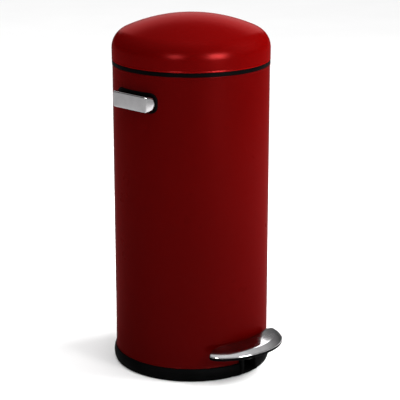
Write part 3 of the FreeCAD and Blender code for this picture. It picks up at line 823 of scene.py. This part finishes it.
# ---- pedal --------------------------------------------------------------------------
TILT = math.radians(7.0)
ARCH_R = 0.450                          # the tread's arch from side to side
HUG_R = 0.1524                          # its rear edge, which follows the body
REAR = Vector((0, -0.138, 0.0745))      # rear corners' line, where the tread's frame sits


def tread_outline(inset, rear):
    """Points of the tread's edge seen from above, the rear corner at +x first.

    The front and sides are set in by inset, and the edge that hugs the body by rear."""
    half, depth, side_r, corner = 96 * MM, 65 * MM, 35 * MM, 7 * MM
    side_x, drop = half - side_r, depth - side_r
    front_y = (side_x ** 2 - drop ** 2) / (2 * drop)
    front_r = front_y + depth - inset
    r = side_r - inset
    meet = math.atan2(-front_y, side_x)
    soft = corner - min(inset, corner * 0.9)
    low_a = math.asin(-(soft + rear) / (r - soft))
    hub = Vector((side_x + (r - soft) * math.cos(low_a), -(soft + rear)))
    points = []
    for k in range(13):
        a = math.pi / 2 + (low_a - math.pi / 2) * k / 12
        points.append(hub + Vector((math.cos(a), math.sin(a))) * soft)
    for k in range(1, 33):
        a = low_a + (meet - low_a) * k / 32
        points.append(Vector((side_x + r * math.cos(a), r * math.sin(a))))
    for k in range(1, 65):
        a = meet + (-math.pi / 2 - meet) * k / 64
        points.append(Vector((front_r * math.cos(a), front_y + front_r * math.sin(a))))
    front = points + [Vector((-p.x, p.y)) for p in points[-2::-1]]
    hug, level = HUG_R + rear, REAR.y - rear
    reach = math.sqrt(hug ** 2 - level ** 2)
    start, turn = math.atan2(level, -reach), math.atan2(level, reach)
    back = [front[-1].lerp(Vector((-reach, -rear)), k / 6) for k in range(1, 6)]
    for k in range(49):
        a = start + (turn - start) * k / 48
        back.append(Vector((hug * math.cos(a), hug * math.sin(a) - REAR.y)))
    back += [Vector((reach, -rear)).lerp(front[0], k / 6) for k in range(1, 6)]
    return front + back


def on_tread(p, drop):
    """A point of the tread's plan put on the arched and tilted tread, drop below its surface."""
    sag = ARCH_R - math.sqrt(ARCH_R ** 2 - p.x ** 2)
    y, z = p.y, -sag - drop
    return Vector((p.x, REAR.y + y * math.cos(TILT) - z * math.sin(TILT),
                   REAR.z + y * math.sin(TILT) + z * math.cos(TILT)))


def pedal_shape(name, rows, smooth_angle=60):
    """Skins rings of the tread's outline: (inset, drop, rear). The first and last are capped."""
    bm = bmesh.new()
    rings = []
    for inset, drop, rear in rows:
        rings.append([bm.verts.new(on_tread(p, drop)) for p in tread_outline(inset, rear)])
    skin(bm, rings)
    cap(bm, rings[0])
    cap(bm, rings[-1])
    return mesh_object(name, bm, smooth_angle)


def tread():
    """Pressed chrome tread: flat on top, curving down to a rolled edge in front."""
    wide, deep = 17.0 * MM, 5.4 * MM
    rolled = [(6.0, 2.6, 3.0), (1.2, 5.6, 1.2), (0.9, 6.3, 0.9),
              (0.4, 6.5, 0.4), (0.05, 6.2, 0.05), (0.0, 5.8, 0.0)]
    rows = [tuple(value * MM for value in row) for row in rolled]
    for k in range(1, 19):
        t = k / 18
        rows.append((wide * t, deep * (1 - t) ** 2, 0.8 * MM * t))
    rows.append((wide + 2 * MM, 0.0, 2 * MM))
    stands_for(pedal_shape("pedal_tread_looks", rows), "pedal_tread", "chrome")


def backing():
    """Black plastic under the tread, with a lip that shows below the chrome."""
    profile = [(7.0, 3.6), (1.6, 6.4), (0.3, 6.6), (0.0, 7.2), (0.1, 11.6), (1.0, 12.7), (3.0, 13.0)]
    rows = [(inset * MM, drop * MM, inset * MM) for inset, drop in profile]
    stands_for(pedal_shape("pedal_backing_looks", rows, 40), "pedal_backing", "black_plastic")


# ---- small hardware -----------------------------------------------------------------
def hardware():
    """CAD pieces whose shape is right, with broken edges."""
    softened = {
        "pedal_shroud": ("black_plastic", 0.6), "hinge_housing": ("black_plastic", 0.6),
        "lid_arm": ("black_strap", 0.4), "crank_pin": ("plated_steel", 0.3),
        "hinge_pin": ("plated_steel", 0.4), "pivot_bracket": ("plated_steel", 0.4),
        "pivot_pin": ("plated_steel", 0.4), "pedal_lever": ("black_strap", 0.5),
        "lever_tip": ("nylon", 0.5), "pedal_stop": ("rubber", 0.8),
        "bucket_seat": ("bucket_plastic", 0.6), "push_rod": ("plated_steel", 0.3),
        "rod_foot": ("nylon", 0.5), "rod_head": ("plated_steel", 0.3),
        "rod_guide_lower": ("nylon", 0.5), "rod_guide_upper": ("nylon", 0.5),
        "guide_rivets": ("plated_steel", 0.3), "damper_cylinder": ("damper_case", 0.5),
        "damper_rod": ("plated_steel", 0.3), "damper_mount": ("plated_steel", 0.4),
        "damper_link": ("plated_steel", 0.4), "lid_bumpers": ("rubber", 0.15),
    }
    for node, (slot, width) in softened.items():
        stands_for(refined(node, width * MM), node, slot)


def around(r, degrees, z):
    """A place at a radius and an angle about the can's axis."""
    a = math.radians(degrees)
    return Vector((r * math.cos(a), r * math.sin(a), z))


def screws(node, radius, seats):
    """Shows pan heads in place of a CAD node, one for each seat: (place, way out)."""
    heads = [pan_head("head", place, out, radius, 2.0 * MM) for place, out in seats]
    stands_for(joined(node + "_looks", heads), node, "plated_steel")


def fasteners():
    """Screw heads with cross recesses."""
    down, up = Vector((0, 0, -1)), Vector((0, 0, 1))
    z = low("base_pan").z - 0.1 * MM
    screws("base_screws", 3.4 * MM, [(around(0.136, a, z), down) for a in (30, 120, 210, 300)])
    y, z = (low("bracket_screws").y + high("bracket_screws").y) / 2, low("bracket_screws").z
    screws("bracket_screws", 3.2 * MM, [(Vector((x, y, z)), up) for x in (-0.022, 0.022)])
    y, z = (low("lid_screws").y + high("lid_screws").y) / 2, high("lid_screws").z
    screws("lid_screws", 3.2 * MM, [(Vector((x, y, z)), down) for x in (-0.016, 0.016)])
    for node, r, angles in (("hinge_screws", 0.1433, (79, 101)),
                            ("handle_screws", BODY_R - 0.9 * MM, (-18, 18, 162, 198))):
        z = (low(node).z + high(node).z) / 2
        screws(node, 3.6 * MM, [(around(r, a, z), -around(1, a, 0)) for a in angles])


# ---- stage, light and camera --------------------------------------------------------
def floor():
    """A wide pale floor."""
    bm = bmesh.new()
    bmesh.ops.create_grid(bm, x_segments=2, y_segments=2, size=20.0)
    obj = mesh_object("floor", bm)
    f = Finish("pale_floor")
    patches = f.ramp(f.noise(3.0, 3.0), 0.3, 0.7)
    f.colour(f.blend(patches, (0.92, 0.92, 0.92), (0.94, 0.94, 0.94)))
    f.roughness(f.ramp(f.noise(8.0, 3.0), 0.3, 0.7, 0.85, 0.95))
    f.constant(Specular_IOR_Level=0.0)
    obj.data.materials.append(f.material)


AZIMUTH = -45.5       # the camera, from the pedal side, degrees
AIM_HEIGHT = 0.35     # where on the can's axis the lights point


def level(degrees):
    """A level direction away from the can, in degrees to the right of the camera."""
    a = math.radians(AZIMUTH + degrees)
    return Vector((math.sin(a), -math.cos(a), 0.0))


def studio():
    """A pale sky, brighter overhead, that whitens the floor."""
    world = bpy.data.worlds.new("studio")
    bpy.context.scene.world = world
    world.use_nodes = True
    tree = world.node_tree
    tree.nodes.clear()
    coords = tree.nodes.new("ShaderNodeTexCoord")
    split = tree.nodes.new("ShaderNodeSeparateXYZ")
    tree.links.new(coords.outputs["Generated"], split.inputs["Vector"])
    rise = tree.nodes.new("ShaderNodeMapRange")
    for key, value in (("From Min", 0.0), ("From Max", 1.0), ("To Min", 0.12), ("To Max", 2.3)):
        rise.inputs[key].default_value = value
    square = tree.nodes.new("ShaderNodeMath")
    square.operation = "POWER"
    square.use_clamp = True
    square.inputs[1].default_value = 2.0
    tree.links.new(split.outputs["Z"], square.inputs[0])
    tree.links.new(square.outputs["Value"], rise.inputs["Value"])
    background = tree.nodes.new("ShaderNodeBackground")
    tree.links.new(rise.outputs["Result"], background.inputs["Strength"])
    output = tree.nodes.new("ShaderNodeOutputWorld")
    tree.links.new(background.outputs["Background"], output.inputs["Surface"])


def softbox(name, place, aim, width, height, power, matt=True, gloss=True):
    """A soft rectangular light. It may leave out what it adds to matt or to glossy surfaces."""
    light = bpy.data.lights.new(name, "AREA")
    light.shape = "RECTANGLE"
    light.size, light.size_y = width, height
    light.energy = power
    obj = bpy.data.objects.new(name, light)
    obj.location = place
    obj.visible_camera = False
    obj.visible_diffuse = matt
    obj.visible_glossy = gloss
    obj.rotation_euler = (aim - place).to_track_quat("-Z", "Y").to_euler()
    bpy.context.scene.collection.objects.link(obj)


def raised(degrees, elevation, distance):
    """A place in the studio, seen from the can: degrees to the right of the camera, and up."""
    e = math.radians(elevation)
    height = AIM_HEIGHT + distance * math.sin(e)
    return level(degrees) * distance * math.cos(e) + Vector((0, 0, height))


def lights():
    """Six softboxes: three for matt light, three for what the glossy surfaces mirror."""
    middle = Vector((0, 0, AIM_HEIGHT))
    softbox("side", raised(98, 34, 1.9), middle, 1.5, 1.3, 74.0, gloss=False)
    softbox("front", raised(45, 25, 2.2), middle, 0.46, 0.22, 16.0, gloss=False)
    softbox("over", Vector((0, 0, 2.6)), middle, 1.0, 1.0, 15.0, gloss=False)
    softbox("key", raised(37, 18, 2.2), middle, 0.76, 0.80, 140.0, matt=False)
    softbox("left", raised(-22, 19, 2.2), middle, 0.54, 0.60, 35.0, matt=False)
    softbox("rear", raised(180, 30.5, 1.16), middle, 0.91, 0.53, 8.0, matt=False)


def camera():
    """A long lens, looking down on the can from the front left."""
    distance, height = 2.800, 1.129       # metres, from the can's axis and above the floor
    down, right = 16.21, 0.338            # degrees it is turned from level and from the axis
    a = math.radians(AZIMUTH)
    data = bpy.data.cameras.new("camera")
    data.lens = 136.15
    data.sensor_width = 36.0
    obj = bpy.data.objects.new("camera", data)
    obj.location = (distance * math.sin(a), -distance * math.cos(a), height)
    obj.rotation_euler = (math.radians(90 - down), 0, a - math.radians(right))
    bpy.context.scene.collection.objects.link(obj)
    bpy.context.scene.camera = obj
    bpy.context.scene.view_settings.view_transform = "Standard"


def build():
    """Everything in the scene."""
    body()
    collar()
    base()
    foot()
    pan()
    lid()
    liner()
    lid_edge()
    bucket()
    bail()
    for side in (-1, 1):
        pull(side)
        plate(side)
    tread()
    backing()
    hardware()
    fasteners()
    floor()
    studio()
    lights()
    camera()


build()
